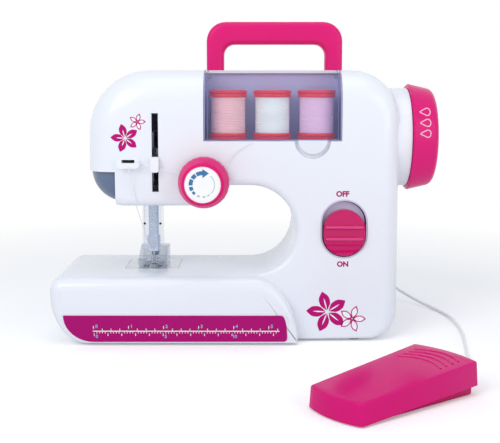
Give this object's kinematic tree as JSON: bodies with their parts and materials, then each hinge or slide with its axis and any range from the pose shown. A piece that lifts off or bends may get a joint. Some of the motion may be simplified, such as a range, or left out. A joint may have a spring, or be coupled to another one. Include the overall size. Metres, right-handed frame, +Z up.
{
  "type": "toy sewing machine",
  "caption": "Toy sewing machine in white plastic with pink carry handle, hand wheel and dial, clear thread lid, ruler strip, and a corded foot pedal.",
  "frame": {"origin": "on the floor, on the middle rubber foot, on the parting plane of the two shells", "axes": "+Z up, +X along the arm to the hand wheel, -Y to the user"},
  "size_m": [0.3083, 0.3195, 0.234],
  "materials": {
    "casing": "glossy",
    "pink": "glossy",
    "magenta": "satin",
    "clear": "glossy",
    "smoke": "glossy",
    "spool_red": "glossy",
    "thread_pink": "matte",
    "thread_white": "matte",
    "thread_lilac": "matte",
    "steel": "satin",
    "grey_plastic": "satin",
    "nylon": "matte",
    "inner_plastic": "matte",
    "brass": "satin",
    "rubber": "matte",
    "cell": "satin",
    "led": "glossy"
  },
  "bodies": {
    "machine": {"front_shell": "casing", "rear_shell": "casing", "bed_cover": "casing", "ruler_strip": "magenta", "battery_door": "casing", "rubber_feet": "rubber", "carry_handle": "pink", "thread_tray": "inner_plastic", "lamp_lens": "smoke", "lamp_led": "led", "thread_guide": "casing", "tension_stud": "steel", "switch_bezel": "casing", "slide_switch": "grey_plastic", "wheel_collar": "casing", "pillow_blocks": "inner_plastic", "drive_belt": "rubber", "gear_frame": "inner_plastic", "motor": "steel", "finger_guard": "clear", "head_guide": "inner_plastic", "needle_plate": "steel", "batteries": "cell", "shell_screws": "steel", "pedal_base": "magenta", "pedal_spring": "steel", "pedal_cord": "casing", "cord_ends": "casing", "cord_jack": "grey_plastic", "top_thread": "thread_white"},
    "drive": {"handwheel": "pink", "main_shaft": "steel", "main_gear": "nylon", "upper_pulley": "grey_plastic", "needle_crank": "steel"},
    "idler": {"idler_gear": "nylon"},
    "rotor": {"motor_pinion": "brass"},
    "lower_drive": {"lower_shaft": "steel", "lower_pulley": "grey_plastic", "looper": "steel"},
    "needle_carrier": {"needle_bar": "grey_plastic", "needle_yoke": "steel", "take_up_lever": "casing", "needle_clamp": "grey_plastic", "needle": "steel"},
    "presser": {"presser_bar": "steel", "presser_foot": "clear"},
    "lifter": {"presser_lifter": "pink"},
    "tension": {"tension_knob": "pink", "tension_dial": "casing"},
    "switch": {"switch_button": "magenta"},
    "lid": {"thread_lid": "clear"},
    "left_spool": {"spool_left": "spool_red", "thread_left": "thread_pink"},
    "middle_spool": {"spool_middle": "spool_red", "thread_middle": "thread_white"},
    "right_spool": {"spool_right": "spool_red", "thread_right": "thread_lilac"},
    "feed": {"feed_dog": "steel"},
    "treadle": {"pedal_treadle": "pink"}
  },
  "joints": [
    {"name": "wheel_turn", "type": "hinge", "parent": "machine", "child": "drive", "pos_m": [0.1, 0, 0.148], "axis": [1, 0, 0], "continuous": true},
    {"name": "idler_turn", "type": "hinge", "parent": "machine", "child": "idler", "pos_m": [0.096, 0, 0.124], "axis": [1, 0, 0], "continuous": true},
    {"name": "rotor_turn", "type": "hinge", "parent": "machine", "child": "rotor", "pos_m": [0.1, 0.01499, 0.112], "axis": [1, 0, 0], "continuous": true},
    {"name": "lower_turn", "type": "hinge", "parent": "machine", "child": "lower_drive", "pos_m": [0, 0, 0.032], "axis": [1, 0, 0], "continuous": true},
    {"name": "needle_stroke", "type": "slide", "parent": "machine", "child": "needle_carrier", "axis": [0, 0, 1], "range_m": [0, 0.026], "deforming": ["top_thread"]},
    {"name": "lifter_turn", "type": "hinge", "parent": "machine", "child": "lifter", "pos_m": [-0.055, 0.044, 0.122], "axis": [0, -1, 0], "range_deg": [0, 70]},
    {"name": "presser_rise", "type": "slide", "parent": "machine", "child": "presser", "axis": [0, 0, 1], "range_m": [0, 0.006]},
    {"name": "tension_turn", "type": "hinge", "parent": "machine", "child": "tension", "pos_m": [-0.0138, -0.055, 0.118], "axis": [0, -1, 0], "range_deg": [-150, 150]},
    {"name": "switch_slide", "type": "slide", "parent": "machine", "child": "switch", "axis": [0, 0, 1], "range_m": [0, 0.0052]},
    {"name": "lid_hinge", "type": "hinge", "parent": "machine", "child": "lid", "pos_m": [0.03565, -0.021, 0.193], "axis": [-1, 0, 0], "range_deg": [0, 100]},
    {"name": "left_spool_turn", "type": "hinge", "parent": "machine", "child": "left_spool", "pos_m": [0.00325, -0.0255, 0.16], "axis": [0, 0, 1], "continuous": true},
    {"name": "middle_spool_turn", "type": "hinge", "parent": "machine", "child": "middle_spool", "pos_m": [0.03565, -0.0255, 0.16], "axis": [0, 0, 1], "continuous": true},
    {"name": "right_spool_turn", "type": "hinge", "parent": "machine", "child": "right_spool", "pos_m": [0.06805, -0.0255, 0.16], "axis": [0, 0, 1], "continuous": true},
    {"name": "feed_slide", "type": "slide", "parent": "machine", "child": "feed", "axis": [0, 1, 0], "range_m": [-0.0015, 0.0015]},
    {"name": "treadle_press", "type": "hinge", "parent": "machine", "child": "treadle", "pos_m": [0.07047, -0.20063, 0.0065], "axis": [-0.6239, 0.7815, 0], "range_deg": [0, 2.4], "stiffness_Nm_per_rad": 1, "springref_deg": -1.72, "deforming": ["pedal_spring"]}
  ],
  "couplings": [
    {"joint": "idler_turn", "follows": "wheel_turn", "ratio": -4},
    {"joint": "rotor_turn", "follows": "wheel_turn", "ratio": 12},
    {"joint": "lower_turn", "follows": "wheel_turn", "ratio": 1},
    {"joint": "lifter_turn", "follows": "presser_rise", "rad_per_m": 203.6}
  ]
}
